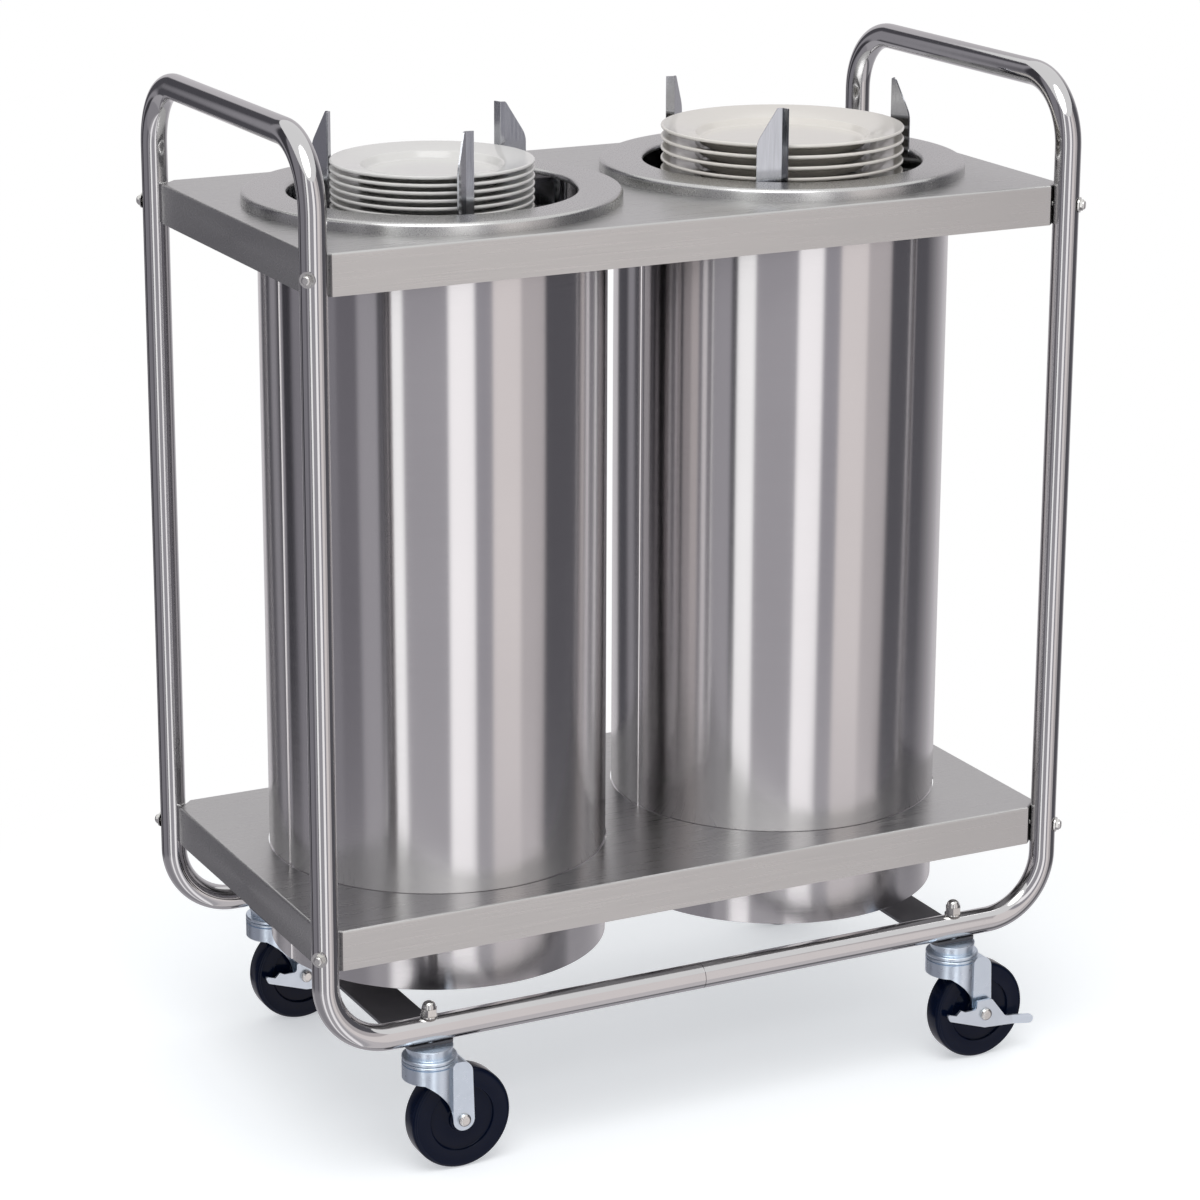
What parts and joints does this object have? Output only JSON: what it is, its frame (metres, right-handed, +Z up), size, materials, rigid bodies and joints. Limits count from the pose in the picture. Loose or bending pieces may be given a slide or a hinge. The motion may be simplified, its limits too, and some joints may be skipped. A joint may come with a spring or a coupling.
{
  "type": "mobile plate dispenser",
  "caption": "Mobile self-levelling plate dispenser: sprung wells with swing guides hold stacked china in a bent steel tube trolley with push handles, on swivel casters.",
  "frame": {"origin": "on the floor under the middle of the trolley", "axes": "+X along the long side towards the well of larger plates, +Y to the back, +Z up"},
  "size_m": [0.8194, 0.4498, 1.0065],
  "materials": {
    "polished_tube": "polished",
    "satin_sheet": "satin",
    "brushed_sheet": "brushed",
    "guide_steel": "polished",
    "bright_fastener": "bright",
    "dark_plate": "matte",
    "caster_plating": "plated",
    "lever_zinc": "zinc plated",
    "wheel_rubber": "glossy",
    "spring_wire": "drawn",
    "glide_plastic": "matte",
    "left_china": "glazed",
    "right_china": "glazed"
  },
  "bodies": {
    "trolley": {"left_end_frame": "polished_tube", "right_end_frame": "polished_tube", "rail_sleeves": "polished_tube", "top_deck": "satin_sheet", "lower_deck": "satin_sheet", "deck_bolts": "bright_fastener", "deck_washers": "bright_fastener", "deck_nuts": "bright_fastener", "cross_plates": "dark_plate", "caster_mounts": "caster_plating", "stem_washers": "bright_fastener", "stem_nuts": "bright_fastener", "left_well_shell": "brushed_sheet", "left_well_flange": "satin_sheet", "left_hanger_ring": "brushed_sheet", "left_base_ring": "brushed_sheet", "left_guide_rods": "polished_tube", "left_springs": "spring_wire", "right_well_shell": "brushed_sheet", "right_well_flange": "satin_sheet", "right_hanger_ring": "brushed_sheet", "right_base_ring": "brushed_sheet", "right_guide_rods": "polished_tube", "right_springs": "spring_wire"},
    "left_carrier": {"left_carrier_platform": "brushed_sheet", "left_carrier_cage": "brushed_sheet", "left_carrier_glides": "glide_plastic"},
    "left_stack": {"left_plates": "left_china"},
    "left_guide_1": {"left_guide_1": "guide_steel"},
    "left_guide_2": {"left_guide_2": "guide_steel"},
    "left_guide_3": {"left_guide_3": "guide_steel"},
    "right_carrier": {"right_carrier_platform": "brushed_sheet", "right_carrier_cage": "brushed_sheet", "right_carrier_glides": "glide_plastic"},
    "right_stack": {"right_plates": "right_china"},
    "right_guide_1": {"right_guide_1": "guide_steel"},
    "right_guide_2": {"right_guide_2": "guide_steel"},
    "right_guide_3": {"right_guide_3": "guide_steel"},
    "front_left_fork": {"front_left_yoke": "caster_plating", "front_left_axle": "bright_fastener", "front_left_bush": "bright_fastener"},
    "front_left_roller": {"front_left_wheel": "wheel_rubber"},
    "front_right_fork": {"front_right_yoke": "caster_plating", "front_right_axle": "bright_fastener", "front_right_bush": "bright_fastener"},
    "front_right_roller": {"front_right_wheel": "wheel_rubber"},
    "front_right_brake": {"front_right_brake_lever": "lever_zinc"},
    "back_left_fork": {"back_left_yoke": "caster_plating", "back_left_axle": "bright_fastener", "back_left_bush": "bright_fastener"},
    "back_left_roller": {"back_left_wheel": "wheel_rubber"},
    "back_left_brake": {"back_left_brake_lever": "lever_zinc"},
    "back_right_fork": {"back_right_yoke": "caster_plating", "back_right_axle": "bright_fastener", "back_right_bush": "bright_fastener"},
    "back_right_roller": {"back_right_wheel": "wheel_rubber"}
  },
  "joints": [
    {"name": "left_carrier_slide", "type": "slide", "parent": "trolley", "child": "left_carrier", "axis": [0, 0, 1], "range_m": [-0.4, 0.06], "stiffness_N_per_m": 350, "springref_m": 0.0893, "deforming": ["left_springs"]},
    {"name": "left_stack_lift", "type": "slide", "parent": "left_carrier", "child": "left_stack", "axis": [0, 0, 1], "range_m": [0, 0.25]},
    {"name": "left_guide_1_swing", "type": "hinge", "parent": "trolley", "child": "left_guide_1", "pos_m": [-0.04024, 0.02874, 0.8716], "axis": [0, 0, -1], "range_deg": [0, 35]},
    {"name": "left_guide_2_swing", "type": "hinge", "parent": "trolley", "child": "left_guide_2", "pos_m": [-0.28902, 0.11489, 0.8716], "axis": [0, 0, -1], "range_deg": [0, 35]},
    {"name": "left_guide_3_swing", "type": "hinge", "parent": "trolley", "child": "left_guide_3", "pos_m": [-0.23924, -0.14363, 0.8716], "axis": [0, 0, -1], "range_deg": [0, 35]},
    {"name": "right_carrier_slide", "type": "slide", "parent": "trolley", "child": "right_carrier", "axis": [0, 0, 1], "range_m": [-0.4, 0.06], "stiffness_N_per_m": 420, "springref_m": 0.0846, "deforming": ["right_springs"]},
    {"name": "right_stack_lift", "type": "slide", "parent": "right_carrier", "child": "right_stack", "axis": [0, 0, 1], "range_m": [0, 0.25]},
    {"name": "right_guide_1_swing", "type": "hinge", "parent": "trolley", "child": "right_guide_1", "pos_m": [0.33023, -0.05743, 0.8716], "axis": [0, 0, -1], "range_deg": [-4, 3.5]},
    {"name": "right_guide_2_swing", "type": "hinge", "parent": "trolley", "child": "right_guide_2", "pos_m": [0.16887, 0.15059, 0.8716], "axis": [0, 0, -1], "range_deg": [-4, 3.5]},
    {"name": "right_guide_3_swing", "type": "hinge", "parent": "trolley", "child": "right_guide_3", "pos_m": [0.0694, -0.09316, 0.8716], "axis": [0, 0, -1], "range_deg": [-4, 3.5]},
    {"name": "front_left_swivel", "type": "hinge", "parent": "trolley", "child": "front_left_fork", "pos_m": [-0.2895, -0.1984, 0.115], "axis": [0, 0, 1], "continuous": true},
    {"name": "front_left_roll", "type": "hinge", "parent": "front_left_fork", "child": "front_left_roller", "pos_m": [-0.261, -0.1984, 0.0508], "axis": [0, 1, 0], "continuous": true},
    {"name": "front_right_swivel", "type": "hinge", "parent": "trolley", "child": "front_right_fork", "pos_m": [0.2895, -0.1984, 0.115], "axis": [0, 0, 1], "continuous": true},
    {"name": "front_right_roll", "type": "hinge", "parent": "front_right_fork", "child": "front_right_roller", "pos_m": [0.318, -0.1984, 0.0508], "axis": [0, 1, 0], "continuous": true},
    {"name": "front_right_brake_rock", "type": "hinge", "parent": "front_right_fork", "child": "front_right_brake", "pos_m": [0.318, -0.1984, 0.0508], "axis": [0, -1, 0], "range_deg": [0, 22]},
    {"name": "back_left_swivel", "type": "hinge", "parent": "trolley", "child": "back_left_fork", "pos_m": [-0.2895, 0.1984, 0.115], "axis": [0, 0, 1], "continuous": true},
    {"name": "back_left_roll", "type": "hinge", "parent": "back_left_fork", "child": "back_left_roller", "pos_m": [-0.261, 0.1984, 0.0508], "axis": [0, 1, 0], "continuous": true},
    {"name": "back_left_brake_rock", "type": "hinge", "parent": "back_left_fork", "child": "back_left_brake", "pos_m": [-0.261, 0.1984, 0.0508], "axis": [0, -1, 0], "range_deg": [0, 22]},
    {"name": "back_right_swivel", "type": "hinge", "parent": "trolley", "child": "back_right_fork", "pos_m": [0.2895, 0.1984, 0.115], "axis": [0, 0, 1], "continuous": true},
    {"name": "back_right_roll", "type": "hinge", "parent": "back_right_fork", "child": "back_right_roller", "pos_m": [0.318, 0.1984, 0.0508], "axis": [0, 1, 0], "continuous": true}
  ]
}
